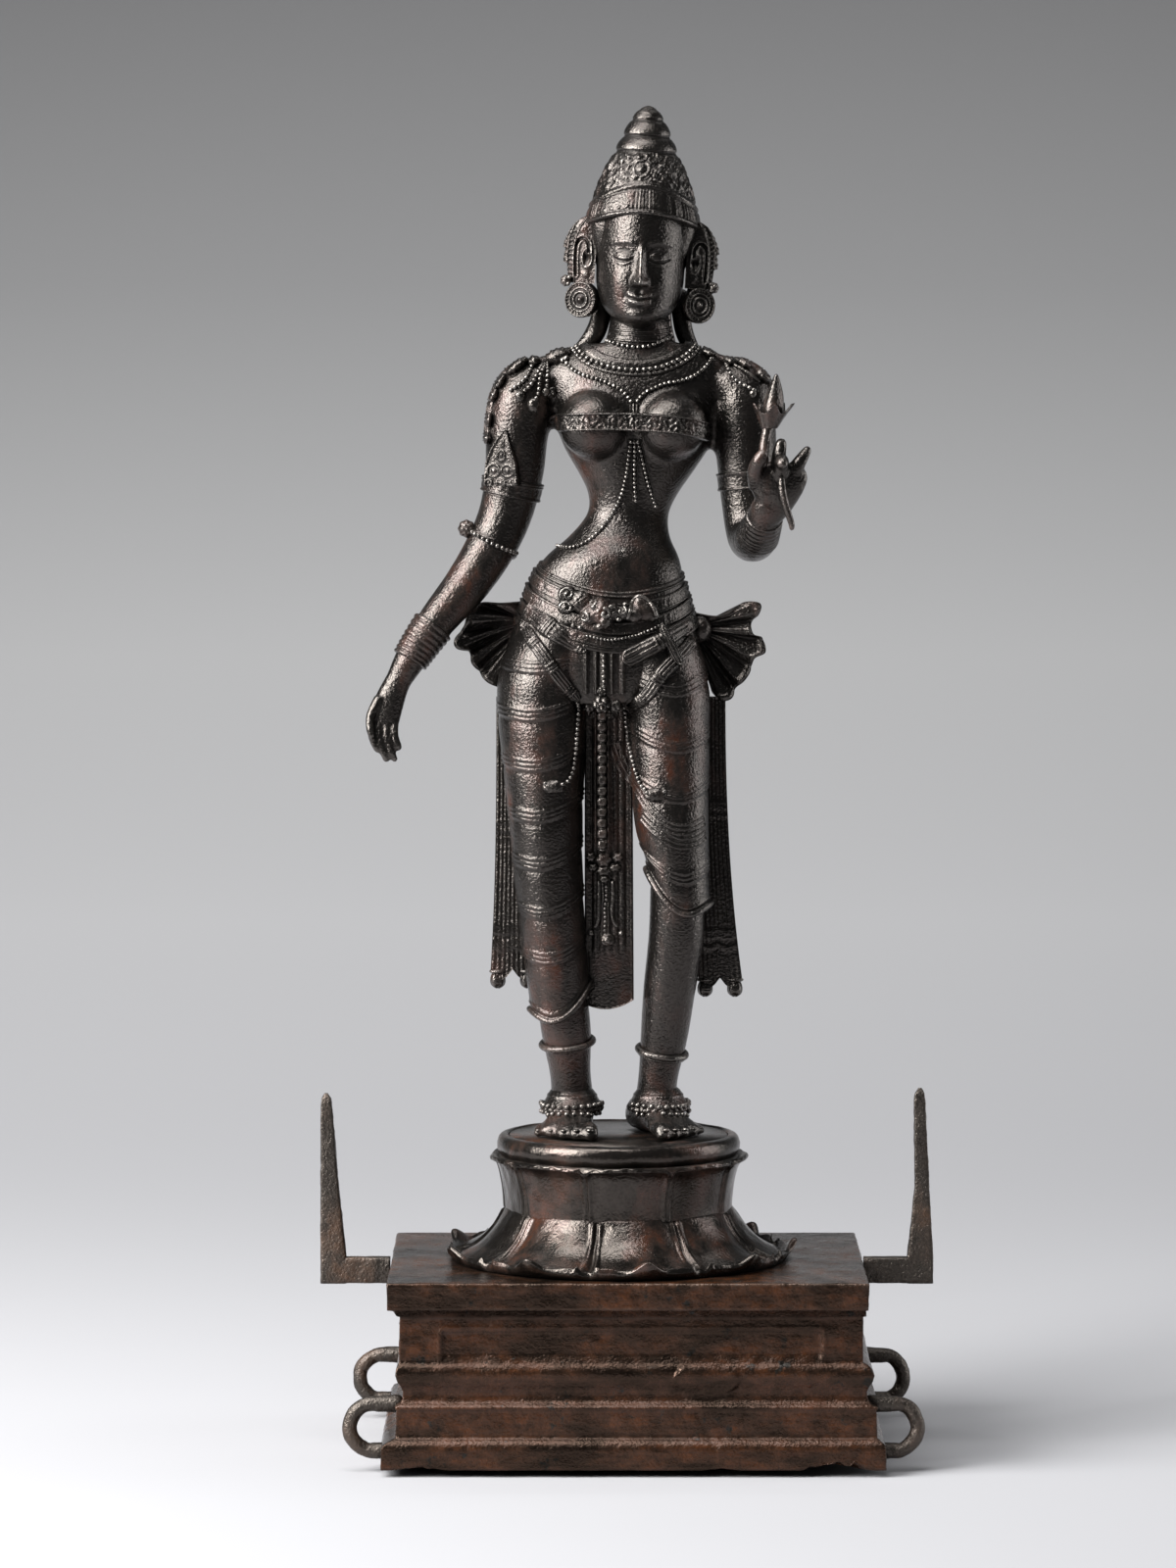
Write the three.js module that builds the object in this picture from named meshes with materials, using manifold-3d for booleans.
// Sridevi figure: a dark bronze standing goddess on a double lotus and a hollow moulded plinth.
// Millimetres, +Z up, the viewer stands on the -Y side. Origin: centre of the plinth's underside.
// "Left" and "right" are the viewer's left (-X) and right (+X).
import * as THREE from "three";
import { mergeVertices } from "three/addons/utils/BufferGeometryUtils.js";
import Module from "manifold-3d";

const wasm = await Module();
wasm.setup();

// Driving dimensions
const TOTAL_HEIGHT = 786.8; // floor to the tip of the crown
const SLAB_TOP = 108; // top of the plinth
const SLAB_HALF = { x: 139.8, y: 107 }; // half length and half depth of the plinth's top slab
const GAP = 0.3; // clearance between neighbouring pieces
const LOTUS = { x: -5, petals: 9, neck: 66, top: 182, recess: 65 };
const LOTUS_SEAM = -12; // degrees from the front to the nearest seam between two petals
const FOOT_PLATE = 1.7; // thickness of the disc cast under the feet
const STAND = LOTUS.top; // level on which the feet stand
const HALO = { out: 181.5, wide: 15.5, armLow: 93, armTop: 108.5, thick: 9 };
const HALO_TIP = { left: { lean: 0.4, high: 206 }, right: { lean: 5, high: 209 } }; // how far each tip leans in
const LOOP = { bar: 8.7, low: 4, high: 40, out: 36.5, at: 90 }; // rope and pole loops: out is from inside the wall

// Small helpers

const rad = (degrees) => (degrees * Math.PI) / 180;
const wave = (x) => 0.5 - 0.5 * Math.cos(x * 2 * Math.PI); // 0 at whole numbers, 1 half-way between

// Turns closed geometry into a solid, with its faces outwards.
function solid(geometry) {
  const bare = geometry.index ? geometry.toNonIndexed() : geometry.clone();
  bare.deleteAttribute("normal");
  bare.deleteAttribute("uv");
  const merged = mergeVertices(bare, 1e-4);
  const corners = new Uint32Array(merged.index.array);
  const make = () =>
    new wasm.Manifold(
      new wasm.Mesh({ numProp: 3, vertProperties: merged.attributes.position.array, triVerts: corners }),
    );
  const made = make();
  if (made.volume() > 0) return made;
  for (let i = 0; i < corners.length; i += 3) [corners[i], corners[i + 1]] = [corners[i + 1], corners[i]];
  return make();
}

const join = (pieces) => pieces.flat(Infinity).reduce((whole, piece) => whole.add(piece));

// A closed skin over rings of points, all with the same count; the first and last ring are closed flat.
function skin(rings) {
  const count = rings[0].length;
  const middle = (ring) => ring.reduce((sum, p) => sum.add(p), new THREE.Vector3()).divideScalar(count);
  const points = rings.flat();
  const first = points.length;
  points.push(middle(rings[0]), middle(rings.at(-1)));
  const index = [];
  for (let row = 0; row + 1 < rings.length; row++)
    for (let i = 0; i < count; i++) {
      const j = (i + 1) % count;
      const [a, b] = [row * count + i, row * count + j];
      index.push(a, b, b + count, a, b + count, a + count);
    }
  const last = (rings.length - 1) * count;
  for (let i = 0; i < count; i++) {
    const j = (i + 1) % count;
    index.push(first, j, i, first + 1, last + i, last + j);
  }
  const geometry = new THREE.BufferGeometry().setFromPoints(points);
  geometry.setIndex(index);
  return solid(geometry);
}

// Smooth values between rows of numbers: a Catmull-Rom curve through the rows, t from 0 to 1.
function between(rows, t) {
  const spot = Math.min(Math.max(t, 0), 1) * (rows.length - 1);
  const k = Math.min(Math.floor(spot), rows.length - 2);
  const f = spot - k;
  const row = (i) => rows[Math.min(Math.max(i, 0), rows.length - 1)];
  return rows[k].map((_, c) => {
    const [a, b, d, e] = [row(k - 1)[c], row(k)[c], row(k + 1)[c], row(k + 2)[c]];
    return b + 0.5 * f * (d - a + f * (2 * a - 5 * b + 4 * d - e + f * (3 * (b - d) + e - a)));
  });
}

// Rows of a body part, [z, centre x, centre y, half width, half depth], at a height.
function atHeight(rows, z) {
  let [low, high] = [0, 1];
  const falling = rows[0][0] > rows.at(-1)[0];
  for (let i = 0; i < 30; i++) {
    const t = (low + high) / 2;
    if (between(rows, t)[0] > z === falling) low = t;
    else high = t;
  }
  return between(rows, (low + high) / 2);
}

// An upright form: level ellipses at the heights given, each moved and swollen by shape(angle, z) -> {dz, dr}.
// Angle 0 is the viewer's right, -90 degrees the front.
function stack(rows, heights, sides, shape = () => ({})) {
  return skin(
    heights.map((z) => {
      const [, x, y, a, b] = atHeight(rows, z);
      return Array.from({ length: sides }, (_, i) => {
        const angle = (i / sides) * 2 * Math.PI;
        const { dz = 0, dr = 0 } = shape(angle, z);
        return new THREE.Vector3(x + (a + dr) * Math.cos(angle), y + (b + dr) * Math.sin(angle), z + dz);
      });
    }),
  );
}

const steps = (from, to, count) => Array.from({ length: count + 1 }, (_, i) => from + ((to - from) * i) / count);

// A limb along a path through rows [x, y, z, half width, half depth], with rings square to the path. The
// first ring's width lies along X (along Z on a path that sets off along X), and is carried on from ring to ring.
// Each cuff {from, to, proud} stands out between two shares of the limb's length.
function limb(rows, count, sides, cuffs = []) {
  let wide = null;
  const clear = steps(0, 1, count).filter((t) => cuffs.every((c) => t < c.from - 0.03 || t > c.to + 0.03));
  const edges = cuffs.flatMap((c) => {
    const narrow = c.to - c.from < 0.06;
    return narrow ? [c.from, (c.from + c.to) / 2, c.to] : [c.from, c.from + 0.012, c.to - 0.012, c.to];
  });
  const extra = (t) => Math.max(0, ...cuffs.map((c) => (t > c.from && t < c.to ? c.proud : 0)));
  const places = [...clear, ...edges].sort((p, q) => p - q);
  return skin(
    places.map((t) => {
      const [x, y, z, a, b] = between(rows, t);
      const ahead = new THREE.Vector3(...between(rows, t + 0.01).slice(0, 3));
      const behind = new THREE.Vector3(...between(rows, t - 0.01).slice(0, 3));
      const along = ahead.sub(behind).normalize();
      wide ??= Math.abs(along.x) > 0.8 ? new THREE.Vector3(0, 0, 1) : new THREE.Vector3(1, 0, 0);
      wide = wide.clone().addScaledVector(along, -wide.dot(along)).normalize();
      const across = wide;
      const deep = new THREE.Vector3().crossVectors(across, along);
      return Array.from({ length: sides }, (_, i) => {
        const angle = (i / sides) * 2 * Math.PI;
        return new THREE.Vector3(x, y, z)
          .addScaledVector(across, (a + extra(t)) * Math.cos(angle))
          .addScaledVector(deep, (b + extra(t)) * Math.sin(angle));
      });
    }),
  );
}

// A thin curved piece: front(u, v) and its thickness backwards, u and v from 0 to 1; down lists the rows v.
function sheet(across, down, front, thickness) {
  const rings = down.map((v) => {
    const face = steps(0, 1, across).map((u) => front(u, v));
    const back = face.map((p) => new THREE.Vector3(p.x, p.y + thickness, p.z)).reverse();
    return [...face, ...back];
  });
  const count = rings[0].length;
  const points = rings.flat();
  const index = [];
  for (let row = 0; row + 1 < rings.length; row++)
    for (let i = 0; i < count; i++) {
      const j = (i + 1) % count;
      const [a, b] = [row * count + i, row * count + j];
      index.push(a, b, b + count, a, b + count, a + count);
    }
  const lid = (start, flip) => {
    for (let i = 0; i < across; i++) {
      const [a, b, c, d] = [start + i, start + i + 1, start + count - 2 - i, start + count - 1 - i];
      if (flip) index.push(a, b, c, a, c, d);
      else index.push(a, c, b, a, d, c);
    }
  };
  lid(0, false);
  lid((rings.length - 1) * count, true);
  const geometry = new THREE.BufferGeometry().setFromPoints(points);
  geometry.setIndex(index);
  return solid(geometry);
}

// An egg-shaped boss; finer = 1 gives it four times the facets.
function boss(x, y, z, a, b, c, finer = 0) {
  return solid(new THREE.IcosahedronGeometry(1, finer).scale(a, b, c).translate(x, y, z));
}

// A round bar through points [x, y, z].
function bar(points, radius, count, sides, end = radius) {
  const rows = points.map(([x, y, z], i) => {
    const r = radius + ((end - radius) * i) / (points.length - 1);
    return [x, y, z, r, r];
  });
  return limb(rows, count, sides);
}

function mesh(name, body, colour, roughness) {
  const data = body.getMesh();
  const geometry = new THREE.BufferGeometry();
  geometry.setAttribute("position", new THREE.BufferAttribute(new Float32Array(data.vertProperties), 3));
  geometry.setIndex(new THREE.BufferAttribute(new Uint32Array(data.triVerts), 1));
  geometry.computeVertexNormals();
  const made = new THREE.Mesh(
    geometry,
    new THREE.MeshStandardMaterial({ color: colour, roughness, metalness: 1 }),
  );
  made.name = name;
  return made;
}

// Plinth: a stack of rectangles [z, centre x, half length, half depth], a little skewed as it was cast.
// From below: foot, rounded step, plain face, ledge, hollow, rounded roll, recessed dado, fillet, slab.
const PLINTH_OUTSIDE = [
  [0, 3, 146.5, 111],
  [12, 3, 146.5, 111],
  [16.5, 4.5, 142.5, 108],
  [18, 5, 139.8, 105.5],
  [34, 5, 139.5, 105.5],
  [35.8, 5, 140.3, 106.5],
  [36.5, 4.5, 137.5, 103.5],
  [42, 4, 134.8, 101],
  [47, 4, 136.3, 102.5],
  [54, 4, 138.8, 105],
  [60, 3, 136.3, 102.8],
  [61.5, 2, 134.6, 101],
  [87.5, 2, 134.6, 101],
  [91.7, 1, 137.6, 104.2],
  [92, 0, SLAB_HALF.x, SLAB_HALF.y],
  [SLAB_TOP, 0, SLAB_HALF.x, SLAB_HALF.y],
];
const PLINTH_INSIDE = [
  [-1, 3, 137, 101.5],
  [14, 3.5, 133, 98],
  [20, 4, 128, 94.5],
  [60, 3, 127, 94],
  [99, 1, 127, 94],
];
const PLINTH_END = { x: 3.5, half: 132.5 }; // the loops start here, inside the end walls
const PANEL = { left: -108, right: 113, low: 62.5, high: 80.5, deep: 1.6 };

function boxes(rows) {
  const corners = [[-1, -1], [1, -1], [1, 1], [-1, 1]];
  return skin(rows.map(([z, x, hx, hy]) => corners.map(([sx, sy]) => new THREE.Vector3(x + sx * hx, sy * hy, z))));
}

function block(x0, x1, y0, y1, z0, z1) {
  const size = [x1 - x0, y1 - y0, z1 - z0];
  return solid(new THREE.BoxGeometry(...size).translate((x0 + x1) / 2, (y0 + y1) / 2, (z0 + z1) / 2));
}

// A cut of the outline given in x and z, from y0 to y1.
function cutThrough(outline, y0, y1) {
  const shape = new THREE.Shape(outline.map(([x, z]) => new THREE.Vector2(x, z)));
  const geometry = new THREE.ExtrudeGeometry(shape, { depth: y1 - y0, bevelEnabled: false });
  return solid(geometry.rotateX(Math.PI / 2).translate(0, y1, 0));
}

// A loop cast on the plinth's end: a round bar bent to a D, its straight ends buried in the wall.
function loop(side, y) {
  const wall = PLINTH_END.x + side * PLINTH_END.half;
  const middle = (LOOP.low + LOOP.high) / 2;
  const half = (LOOP.high - LOOP.low - LOOP.bar) / 2;
  const centre = wall + side * (LOOP.out - LOOP.bar / 2 - half);
  const turn = steps(-90, 90, 5).map((d) => [centre + side * half * Math.cos(rad(d)), y, middle + half * Math.sin(rad(d))]);
  return bar([[wall, y, middle - half], ...turn, [wall, y, middle + half]], LOOP.bar / 2, 8, 5);
}

function plinth() {
  let body = boxes(PLINTH_OUTSIDE);
  for (const side of [-1, 1])
    for (const y of [-LOOP.at, LOOP.at]) body = body.add(loop(side, y));
  body = body.subtract(boxes(PLINTH_INSIDE));
  const face = 101;
  for (const side of [-1, 1]) {
    const [near, far] = [face - PANEL.deep, face + 3].map((y) => y * side);
    const [y0, y1] = [Math.min(near, far), Math.max(near, far)];
    body = body.subtract(block(PANEL.left, PANEL.right, y0, y1, PANEL.low, PANEL.high));
    const end = 2 + side * 134.6;
    body = body.subtract(block(end - PANEL.deep, end + PANEL.deep, -80, 80, PANEL.low, PANEL.high));
  }
  // The lost corner of the foot at the front right, and two places where the foot is eaten away below.
  const broken = [[101.5, -1], [104, 2.2], [115, 3.8], [121, 8], [128, 7.4], [133, 8.8], [139, -1]];
  const eaten = [[-139, -1], [-136, 1.9], [-118, 1.2], [-106, 1.7], [-103, -1]];
  const worn = [[44, -1], [50, 1.3], [60, 0.7], [66, -1]];
  for (const outline of [broken, eaten, worn]) body = body.subtract(cutThrough(outline, -113, -99));
  return body;
}

// Double lotus: rings of points round the middle, swelling and dipping with the petals.
// phase 0 is a seam, where the tip of a petal behind shows; phase 0.5 the middle of a petal.
function lotus() {
  const perPetal = 4;
  const sides = LOTUS.petals * perPetal;
  const front = rad(-90 + LOTUS_SEAM);
  const tipAt = (phase) => Math.max(0, 1 - Math.abs(phase - 0.5) * 5) + Math.max(0, 1 - Math.min(phase, 1 - phase) * 7);
  const full = (phase) => Math.sqrt(Math.max(0, wave(phase)));
  // [z, radius, swell of a petal, reach of its tip, lift of its tip]
  const lower = [
    [SLAB_TOP + GAP, 95, 2, 3, 0],
    [110.8, 99.5, 2.5, 3.4, 4.6],
    [112.6, 98, 2.2, 2.2, 5.4],
    [111.6, 93, 1.5, 0, 2.5],
    [115.6, 84, 3, 0, 0],
    [126, 74, 2.6, 0, 0],
    [138.6, LOTUS.neck, 1, 0, 0],
  ];
  const upper = [
    [162, 71, 2.4, 0, 0],
    [167.5, 73.2, 1.3, 1.8, 2],
    [169.8, 72, 1.2, 1.4, 2.4],
    [169.6, 68.5, 0, 0, 0],
    [172.6, 71.2, 0, 0, 0],
    [178.5, 71, 0, 0, 0],
    [LOTUS.top, 68.5, 0, 0, 0],
    [LOTUS.top, LOTUS.recess, 0, 0, 0],
    [LOTUS.top - FOOT_PLATE - GAP, LOTUS.recess, 0, 0, 0],
  ];
  return skin(
    [...lower, ...upper].map(([z, radius, swell, reach, lift]) =>
      Array.from({ length: sides }, (_, i) => {
        const phase = (i % perPetal) / perPetal;
        const angle = front + (i / sides) * 2 * Math.PI;
        const r = radius + swell * full(phase) + reach * tipAt(phase);
        const rise = lift * tipAt(phase);
        return new THREE.Vector3(LOTUS.x + r * Math.cos(angle), r * Math.sin(angle), z + rise);
      }),
    ),
  );
}

// Halo bracket: a flat bar that runs out from the slab's end and turns up, tapering to a blunt tip.
function bracket(side, { lean, high }) {
  const start = SLAB_HALF.x + GAP;
  const { out, wide, armLow, armTop } = HALO;
  const outline = [
    [start, armLow],
    [out, armLow],
    [out - lean, high - 4],
    [out - lean - 3, high],
    [out - lean - 6.2, high - 3],
    [out - wide, armTop],
    [start, armTop],
  ].map(([x, z]) => [side * x, z]);
  return cutThrough(outline, -HALO.thick / 2, HALO.thick / 2);
}

// The figure. Body rows are [z, centre x, centre y, half width, half depth].
const TORSO = [
  [436, -14, -2, 30, 27],
  [452, -14, 3, 54, 35],
  [470, -14, 4, 57, 38],
  [490, -12.5, 3, 50, 36],
  [508, -11.5, 1, 45, 31],
  [522, -9, 0, 39.5, 27],
  [535, -4.5, 0, 29.5, 22],
  [548, 0.5, 1, 24, 19.5],
  [560, 3.5, 1, 26.5, 21],
  [573, 5, 1, 34, 24],
  [588, 5.5, 2, 43, 27],
  [606, 5.5, 3, 49, 29],
  [622, 5, 3, 53, 27],
  [634, 5, 3, 54, 23],
  [642, 6, 3, 44, 19],
  [648, 7, 3, 30, 17],
];
const NECK = [
  [636, 7, 4, 20, 18],
  [648, 7.5, 2, 19.5, 18],
  [653, 7.7, 1, 17.5, 17],
  [668, 7.5, 2, 16.5, 17],
];
const LEG_LEFT = [
  [252, -39.7, -3, 17.3, 19],
  [270, -41.2, -4, 18.2, 20],
  [300, -44, -6, 19, 21.5],
  [330, -46.3, -7, 20.3, 23],
  [360, -47.6, -8, 21.6, 24.5],
  [400, -48.8, -6, 24.6, 28],
  [434, -49.5, -3, 27, 31],
  [468, -44, 0, 29, 34],
];
const LEG_RIGHT = [
  [312, 30.2, -14, 18, 20],
  [330, 28.6, -15, 19.6, 21.5],
  [359, 25.8, -15, 22, 24],
  [380, 25.3, -12, 22.6, 26],
  [417, 24.2, -6, 24.4, 29],
  [440, 22.5, -3, 26.5, 31],
  [468, 18, 0, 28, 33],
];
const SHIN_LEFT = [
  [-38, -2, 262, 15, 16.5],
  [-35.7, -1, 241, 14.6, 15.5],
  [-33.6, 3, 219, 12.2, 13],
  [-32.5, 7, 204, 12.4, 14],
  [-32.5, 8, 188, 13, 17],
];
const SHIN_RIGHT = [
  [29.5, -11, 330, 16, 17],
  [29, -8, 300, 16.4, 17],
  [25, -3, 268, 15.4, 16],
  [22, 2, 240, 14, 14.5],
  [18.6, 6, 216, 11.8, 12.5],
  [17.5, 9, 203, 12.2, 13.5],
  [17.5, 10, 188, 13, 16],
];
const ARM_LEFT = [
  [-46, 2, 629, 12, 14],
  [-59, 2, 618, 18.4, 19],
  [-64.3, 2, 597, 18.4, 19],
  [-66.3, 2, 572, 17.2, 17.5],
  [-71.5, 2, 548, 15.8, 16],
  [-80.5, -1, 528, 14.8, 15],
  [-94, -6, 507, 13.4, 13.4],
  [-112, -13, 485, 11.2, 11.2],
  [-126, -18, 465, 9.4, 9],
];
const ARM_RIGHT = [
  [54, 2, 629, 12, 14],
  [67, 2, 618, 18.4, 19],
  [69, 2, 597, 18.4, 19],
  [70.5, 1, 572, 17.2, 17.5],
  [71.5, -1, 549, 15.5, 16],
  [72.5, -8, 535, 14, 13.6],
  [74.5, -24, 533.5, 12.8, 12],
  [77.5, -40, 541, 11.2, 11],
  [80.5, -53, 552, 9.6, 9],
];
const ARMLET = { from: 0.45, to: 0.48, proud: 2 };
const ELBOW_STRING = { from: 0.575, to: 0.6, proud: 1.8 };
const BANGLES_LEFT = { from: 0.86, to: 0.985, proud: 2.2 };
const BANGLES_RIGHT = { from: 0.86, to: 0.98, proud: 1.8 };
const ANKLE_RING = 2.6; // how far the anklets stand out

// Triple-lined borders of the leg cloths, as heights of each band's middle.
const BANDS_LEFT = [289, 317, 345, 371, 401, 431, 459];
const BANDS_RIGHT = [336, 362, 386, 418, 448];
const BAND = { edge: 1.2, proud: 1.3 };

// Heights of a cloth's rows: its ends, and the sharp lower edge of each band, which fades upwards.
function clothRows(low, high, bands) {
  return [low, low + 3, ...bands.flatMap((z) => [z - BAND.edge, z]), high];
}

// A leg in its wrapped cloth. The bands and the hem rise towards the other leg, inner = 1 or -1.
function clothedLeg(rows, high, bands, inner, rise) {
  const low = rows[0][0];
  return stack(rows, clothRows(low, high, bands), 9, (angle, z) => {
    const inwards = (1 + inner * Math.cos(angle)) / 2;
    const fade = Math.min(1, (high - z) / 30);
    const onBand = bands.includes(z) ? BAND.proud : 0;
    const onHem = z === low + 3 ? BAND.proud : 0;
    return { dz: rise * inwards * inwards * fade, dr: onBand + onHem };
  });
}

// The belts of the girdle: height of each one's sharp lower edge, and how far it stands out.
const BELTS = [
  { z: 519, proud: 1.8 },
  { z: 508, proud: 2.6 },
  { z: 496, proud: 3 },
  { z: 487, proud: 2.6 },
];
const BELT_DIP = 9; // how much lower the belts hang at the front

// The trunk from the hips to the shoulders, with its belts.
function trunk() {
  const plain = [438, 454, 470, 524, 534, 546, 560, 577, 597, 617, 632, 641, 647];
  const belted = BELTS.flatMap(({ z }) => [z - BAND.edge, z]);
  const heights = [...plain, ...belted].sort((p, q) => p - q);
  return stack(TORSO, heights, 13, (angle, z) => {
    const front = Math.max(0, -Math.sin(angle));
    const belt = BELTS.find((b) => b.z === z);
    return { dz: belted.includes(z) ? -BELT_DIP * front : 0, dr: belt ? belt.proud : 0 };
  });
}

// How far forward a row-built form comes at x and z.
function frontOf(rows, x, z) {
  const [, cx, cy, a, b] = atHeight(rows, z);
  const share = Math.min(0.98, Math.abs((x - cx) / a));
  return cy - b * Math.sqrt(1 - share * share);
}

// A flat ribbon laid on a form along points [x, z], with a width and a thickness.
function ribbon(rows, points, width, thick, count, sink = 2) {
  const path = points.map(([x, z]) => [x, frontOf(rows, x, z), z, 0, 0]);
  const rings = steps(0, 1, count).map((t) => {
    const [x, y, z] = between(path, t);
    const ahead = between(path, t + 0.02);
    const behind = between(path, t - 0.02);
    const along = new THREE.Vector2(ahead[0] - behind[0], ahead[2] - behind[2]).normalize();
    const [nx, nz] = [(-along.y * width) / 2, (along.x * width) / 2];
    return [
      new THREE.Vector3(x + nx, y + sink, z + nz),
      new THREE.Vector3(x + nx * 0.7, y - thick, z + nz * 0.7),
      new THREE.Vector3(x - nx * 0.7, y - thick, z - nz * 0.7),
      new THREE.Vector3(x - nx, y + sink, z - nz),
    ];
  });
  return skin(rings);
}

function legs() {
  return [
    clothedLeg(LEG_LEFT, 468, BANDS_LEFT, 1, 10),
    clothedLeg(LEG_RIGHT, 468, BANDS_RIGHT, -1, 26),
    limb(SHIN_LEFT, 4, 7, [
      { from: 0.37, to: 0.42, proud: ANKLE_RING },
      { from: 0.76, to: 0.81, proud: ANKLE_RING - 1 },
    ]),
    limb(SHIN_RIGHT, 4, 7, [
      { from: 0.58, to: 0.62, proud: ANKLE_RING },
      { from: 0.81, to: 0.85, proud: ANKLE_RING - 1 },
    ]),
  ];
}

// A foot from the heel to the ball with its strap, and five toes side by side; turn is its angle from
// straight ahead, big = -1 or 1 puts the big toe on the left or right.
function foot(x, y, turn, big) {
  const place = (across, ahead) => {
    const [s, c] = [Math.sin(rad(turn)), Math.cos(rad(turn))];
    return [x + across * c + ahead * s, y + across * s - ahead * c];
  };
  const at = (across, ahead, z, a, b) => [...place(across, ahead), z, a, b];
  const rows = [
    at(0, -15, 189.5, 9, 8.5),
    at(0, -4, 193, 13, 12),
    at(big, 18, 191, 13.5, 9),
    at(big * 1.5, 36, 187.4, 17, 6.8),
    at(big, 46, 185.6, 16, 4.6),
  ];
  const toes = [0, 1, 2, 3, 4].map((i) => {
    const size = 5.4 - 0.45 * i;
    const [tx, ty] = place(big * (15 - 7.4 * i), 51 - 1.5 * i - 0.6 * i * i);
    return boss(tx, ty, STAND + size * 0.7, size, size, size * 0.95);
  });
  return [limb(rows, 4, 7, [{ from: 0.54, to: 0.59, proud: 1.6 }]), ...toes];
}

// The cloth that hangs between the legs, its fluted sides, and its rounded lower edge.
function centrePanel() {
  const front = (u, v) => {
    const x = -25 + (28 + v) * u;
    const end = 255 + 4 * (2 * u - 1) ** 2;
    const z = 440 + (end - 440) * v;
    const flute = 1.4 * Math.cos(u * 2 * Math.PI * 4);
    return new THREE.Vector3(x, -14 + 8 * v + flute, z);
  };
  return sheet(8, [0, 0.5, 1], front, 10);
}

// A sash end that hangs at the side of a leg: fluted, tied twice, flaring to two small tassel knobs.
function sash(side) {
  const top = { x: side < 0 ? -67 : 48, half: 10 };
  const low = { x: side < 0 ? -67.5 : 55, half: 13 };
  const ends = { high: 440, low: side < 0 ? 279 : 274 };
  const ties = [0.5, 0.86];
  const front = (u, v) => {
    const tied = ties.includes(v) ? 1.8 : 0;
    const half = top.half + (low.half - top.half) * v * v + tied / 2;
    const x = top.x + (low.x - top.x) * v + side * half * (2 * u - 1);
    const z = ends.high + (ends.low - ends.high) * v - 5 * v * Math.abs(Math.sin(u * Math.PI * 2));
    return new THREE.Vector3(x, 5 - tied + 1.2 * Math.cos(u * 2 * Math.PI * 2), z);
  };
  const rows = [0, ...ties.flatMap((t) => [t, t + 0.025]), 1];
  const knobs = [-1, 1].map((k) => boss(low.x + k * 9, 8, ends.low - 6, 4.4, 3.6, 5));
  return [sheet(4, rows, front, 7), ...knobs];
}

// A pleated fan of cloth at the hip: pleats run out from the knot to a ragged edge.
function fan(knot, tips, pleats) {
  const front = (u, v) => {
    const [x, z] = between(tips, u);
    const spread = 0.12 + 0.88 * v;
    const pleat = 2.6 * v * Math.cos(u * 2 * Math.PI * pleats);
    return new THREE.Vector3(knot[0] + (x - knot[0]) * spread, 6 + pleat, knot[1] + (z - knot[1]) * spread);
  };
  return sheet(pleats * 3, [0, 1], front, 5.5);
}

function bows() {
  const left = [[-64, 497], [-82, 496], [-97, 489], [-102, 473], [-94, 462], [-79, 448], [-68, 440]];
  const right = [[44, 493], [62, 491], [77, 497], [75, 484], [84, 468], [76, 458], [72, 448], [58, 438], [48, 440]];
  return [fan([-54, 486], left, 3), fan([38, 482], right, 4), boss(-58, 6, 486, 9, 8, 8), boss(42, 6, 482, 9, 8, 8)];
}

// A rolled swag of cloth that hangs across the front of the hips.
const swag = (points) => bar(points, 5.2, 3, 4, 4.6);

// The girdle's lion-mask clasp, the swags of cloth below it and the long chain down the middle.
function girdle() {
  const hip = (x, z) => frontOf(TORSO, x, z);
  return [
    boss(-3, hip(-3, 495) - 1, 493, 20, 8, 8.5),
    boss(-29, hip(-29, 499) - 1, 498, 8, 6, 8),
    boss(22, hip(22, 494) - 1, 493, 9, 6, 8),
    swag([[-64, -22, 480], [-56, -29, 462], [-42, -33, 445], [-22, -33, 434]]),
    swag([[42, -22, 476], [34, -31, 458], [18, -34, 442], [-2, -33, 432]]),
    boss(-15, -34, 435, 11, 6, 7),
    bar([[-14, -34, 474], [-14.5, -34, 438], [-14.5, -17, 398], [-14, -15, 345]], 2.6, 4, 5, 3.4),
    boss(-22, -14, 343, 5, 4, 5),
    boss(-5, -14, 343, 5, 4, 5),
    bar([[-13.5, -12, 347], [-13.3, -10, 312], [-13.3, -9, 290]], 5.4, 1, 5, 2.5),
    boss(-43, -33, 389, 6, 5, 4.5),
    boss(16.5, -36, 387, 6, 5, 4.5),
  ];
}

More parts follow.
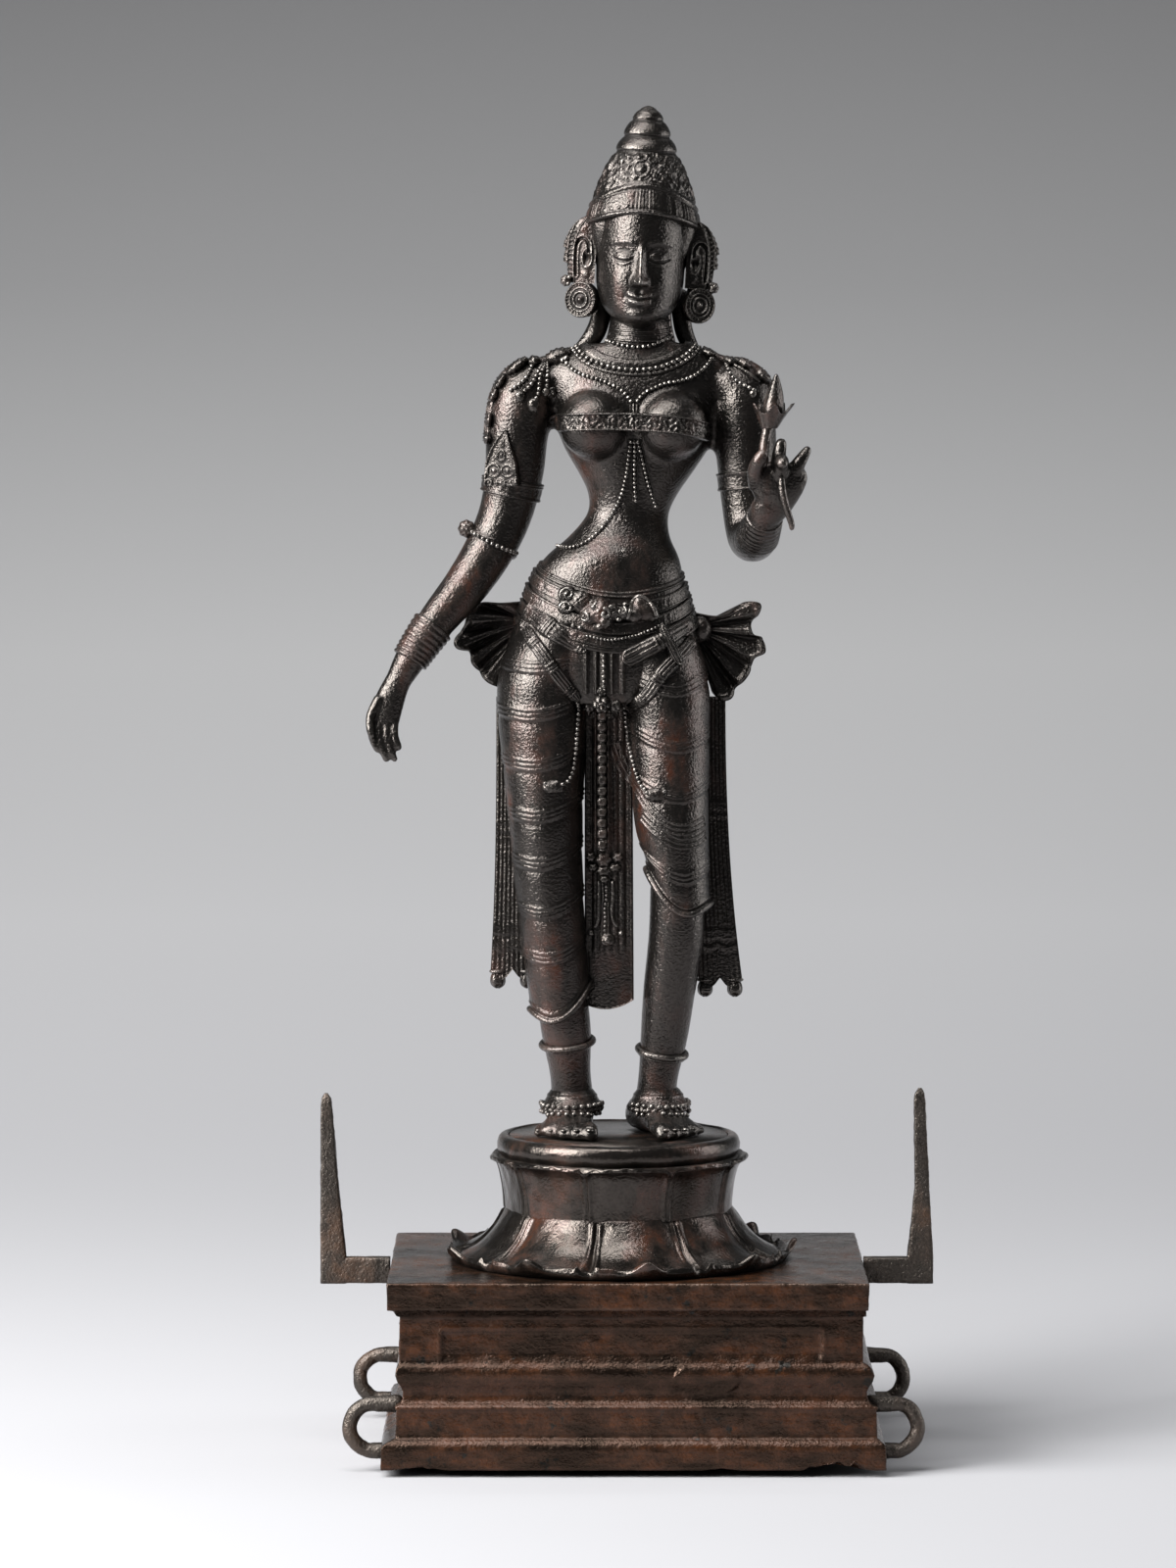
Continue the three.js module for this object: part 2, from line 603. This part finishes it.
// Necklaces, breast band, sacred thread, and the ribbon folds over the shoulders.
function ornaments() {
  const collar = [[-36, 644], [-24, 636], [-8, 630], [6.5, 628], [21, 630], [37, 636], [49, 644]];
  const chain = [[-38, 646], [-28, 626], [-8, 617], [6, 610], [20, 617], [40, 628], [52, 647]];
  const thread = [[6, 584], [-4, 560], [-12, 546], [-26, 532], [-38, 528]];
  const breasts = { left: -19.5, right: 26, z: 600, size: 20 };
  const breastLine = steps(0, 1, 8).map((t) => {
    const [x, z] = [-41 + 90 * t, 603 - 5 * Math.sin(Math.PI * t)];
    const bump = Math.max(0, ...[breasts.left, breasts.right].map((c) => 1 - ((x - c) / 21) ** 2));
    return [x, frontOf(TORSO, x, z) - 17 * Math.sqrt(bump) + 1, z, 4.6, 2.4];
  });
  const onChest = (x, z, size) => boss(x, frontOf(TORSO, x, z), z, size, size * 0.8, size * 1.4);
  const folds = (side, far, drop) =>
    steps(0.2, 0.9, 1).map((t) => {
      const across = far * Math.sin(t * 1.35);
      return boss(5.5 + side * (37 + across), 2, 645 - drop * (1 - Math.cos(t * 1.35)), 8, 10, 5);
    });
  return [
    ribbon(TORSO, collar, 7, 2.2, 5),
    ribbon(TORSO, chain, 3, 2, 6),
    ribbon(TORSO, thread, 4, 1.8, 3),
    limb(breastLine, 7, 4),
    boss(breasts.left, -21, breasts.z, breasts.size, 19, 19, 1),
    boss(breasts.right, -21, breasts.z, breasts.size, 19, 19, 1),
    ...folds(-1, 41, 38),
    ...folds(1, 36, 30),
    onChest(-41, 626, 6),
  ];
}

// Arms with armlet, elbow string and a stack of bangles, the armlet's pointed plate and the elbow's flower.
function arms() {
  const plate = (u, v) => {
    const x = -69 + 26 * (u - 0.5) * (1 - 0.75 * v) + 3 * v;
    return new THREE.Vector3(x, -15.5 - 4 * Math.sin(Math.PI * u), 564 + 31 * v);
  };
  return [
    limb(ARM_LEFT, 7, 7, [ARMLET, ELBOW_STRING, BANGLES_LEFT]),
    limb(ARM_RIGHT, 7, 7, [ARMLET, BANGLES_RIGHT]),
    sheet(2, [0, 1], plate, 8),
    boss(-92, -6, 541, 4.8, 4.8, 4.8),
  ];
}

// The relaxed hand that hangs at the left, fingers together and pointing down.
function hangingHand() {
  const palm = [
    [-124, -17, 468, 8.6, 8],
    [-133.5, -20, 452, 8, 6.5],
    [-139.5, -21, 438, 9.2, 6],
    [-143, -22, 421, 8.4, 4.6],
  ];
  const tips = [[-144, 409], [-140, 404], [-134.5, 403.5], [-133, 412]];
  const fingers = tips.map(([x, z], i) => {
    const root = -142.5 + (i - 1.5) * 4.6;
    return bar([[root, -23, 426], [(root + x) / 2 - 0.5, -26, 415], [x, -25, z]], 3.4, 2, 4, 2.2);
  });
  return [limb(palm, 4, 7), ...fingers, bar([[-146, -24, 440], [-150.5, -27, 430], [-149, -29, 419]], 3.4, 2, 4, 2.4)];
}

// The raised hand holds a lotus bud by its stem; the little finger stands out.
function raisedHand() {
  const palm = [[80.5, -52, 551, 8.5, 8], [84, -58, 559, 11, 6.5], [88, -62, 570, 13.5, 6], [89, -63, 580, 11, 5.5]];
  const petals = [[72, -65, 615], [94.6, -65, 613], [81, -75, 616]];
  const digits = [
    { path: [[79, -58, 555], [75, -66, 566], [76.5, -72, 579]], root: 4.6, tip: 3.2 },
    { path: [[84, -65, 576], [83, -73, 583], [88, -77, 579]], root: 3.8, tip: 2.8 },
    { path: [[89, -64, 578], [90, -72, 586], [89.7, -71, 594]], root: 3.6, tip: 2.4 },
    { path: [[96, -62, 576], [101, -65, 580], [105.5, -63, 588]], root: 3.8, tip: 2 },
    { path: [[90, -66, 568], [93.5, -68, 552], [94, -67, 542]], root: 3, tip: 1.6 },
  ];
  return [
    limb(palm, 3, 7),
    ...digits.map(({ path, root, tip }) => bar(path, root, 2, 4, tip)),
    bar([[77, -69, 572], [78, -68, 590], [80.5, -66, 604]], 3, 2, 4, 4),
    bar([[81, -66, 602], [83, -66, 613], [84, -65, 624], [84.4, -65, 631]], 5, 3, 5, 1.4),
    ...petals.map((tip) => bar([[82, -66, 602], tip], 4.4, 1, 3, 1.3)),
  ];
}

// Head, turned a little about the neck; rows as for the body, heights above the chin.
const HEAD = { x: 6, y: 0, z: 658, tilt: 2.9 };
const SKULL = [
  [0, 0, -15, 8, 9],
  [4, 0, -10.5, 15, 19],
  [11, 0, -4.5, 20.5, 27],
  [22, 0, -0.5, 24.5, 31.5],
  [36, 0, 1, 26.2, 33.5],
  [50, 0, 2, 27, 34.5],
  [63, 0, 2, 27, 34],
];
// Crown, [radius, height above the chin]: brim, plain headband, carved cone, stepped tiers, finial.
const CROWN = [
  [0, 56.5], [34.8, 60], [32.4, 66], [29.6, 80], [30.4, 82.5], [27, 85], [20.2, 99.5], [18.6, 103], [14.8, 107.4],
  [14.2, 110.5], [10.8, 116.5], [7.8, 123], [0, TOTAL_HEIGHT - HEAD.z + 0.12],
];
// Ear disc, [radius, depth], from its raised middle to its rim and back.
const DISC = [[0, -5], [3.2, -3.2], [6.8, -4.6], [9, -3], [9, 3], [0, 3]];

const turning = (outline) => outline.map(([r, h]) => new THREE.Vector2(r, h));

function head() {
  const skull = stack(SKULL, [0, 3, 8, 17, 30, 45, 60], 12);
  const nose = limb([[0, -31.5, 46, 2.4, 2], [0, -34, 32, 3.2, 4.6], [0, -32, 27.5, 5, 4]], 2, 4);
  const lips = boss(0, -30.6, 19.5, 8, 3.6, 2.8);
  const eyes = [-1, 1].map((s) => boss(s * 11, -28.4, 41, 7.6, 4.6, 3.6));
  const crown = solid(new THREE.LatheGeometry(turning(CROWN), 11).rotateX(Math.PI / 2));
  const jewel = boss(0, -24.5, 91, 5, 4, 5);
  const ears = [-1, 1].flatMap((s) => [
    // Long ear, the leaf ornament round it and the disc in the lobe
    bar([[s * 26, 3, 56], [s * 34, 1, 50], [s * 33, 0, 33], [s * 30, 0, 24]], 4.2, 3, 4, 4.6),
    sheet(2, [0, 0.35, 0.7, 1], (u, v) => {
      const reach = 34 + (5 + 8.5 * Math.sin(Math.PI * (0.12 + 0.78 * v))) * u;
      return new THREE.Vector3(s * reach, -1 + 2 * u, 59 - 30 * v - 3 * u * v);
    }, 4),
    solid(new THREE.LatheGeometry(turning(DISC), 8).translate(s * 34.6, -2, 15.5)),
  ]);
  const whole = join([skull, nose, lips, ...eyes, crown, jewel, ...ears]);
  const turned = new THREE.Matrix4().makeRotationY(rad(HEAD.tilt)).setPosition(HEAD.x, HEAD.y, HEAD.z);
  return whole.transform(turned.elements);
}

// Locks of hair that fall from behind the head on to the shoulders and the back.
function hair() {
  return [-1, -0.4, 0.4, 1].map((k) => {
    const outer = Math.abs(k) > 0.9;
    const low = outer ? [7 + k * 33, 8, 641] : [7 + k * 38, 25, 624];
    const size = outer ? 4.5 : 8;
    return bar([[7 + k * 20, 26 - 12 * Math.abs(k), 676], [7 + k * 27, 25 - 15 * Math.abs(k), 657], low], size, 2, 4, size - 1);
  });
}

function figure() {
  const across = LOTUS.recess - GAP - 0.1;
  const plate = new THREE.CylinderGeometry(across, across, FOOT_PLATE, 28).rotateX(Math.PI / 2);
  return join([
    solid(plate.translate(LOTUS.x, 0, STAND - FOOT_PLATE / 2)),
    trunk(),
    stack(NECK, [636, 647, 650, 653, 656, 668], 10, (angle, z) => ({ dr: z === 650 || z === 656 ? 2 : 0 })),
    legs(),
    foot(-33, 6, -7, 1),
    foot(15.5, 8, 29, -1),
    centrePanel(),
    sash(-1),
    sash(1),
    bows(),
    girdle(),
    ornaments(),
    arms(),
    hangingHand(),
    raisedHand(),
    hair(),
    head(),
  ]);
}

const work = new THREE.Group();
work.name = "sridevi_figure";
work.add(mesh("plinth", plinth(), 0x3b2a22, 0.5));
work.add(mesh("lotus_pedestal", lotus(), 0x2e241f, 0.45));
work.add(mesh("halo_bracket_left", bracket(-1, HALO_TIP.left), 0x3a2e27, 0.55));
work.add(mesh("halo_bracket_right", bracket(1, HALO_TIP.right), 0x3a2e27, 0.55));
work.add(mesh("figure", figure(), 0x2f2723, 0.42));

export default work;
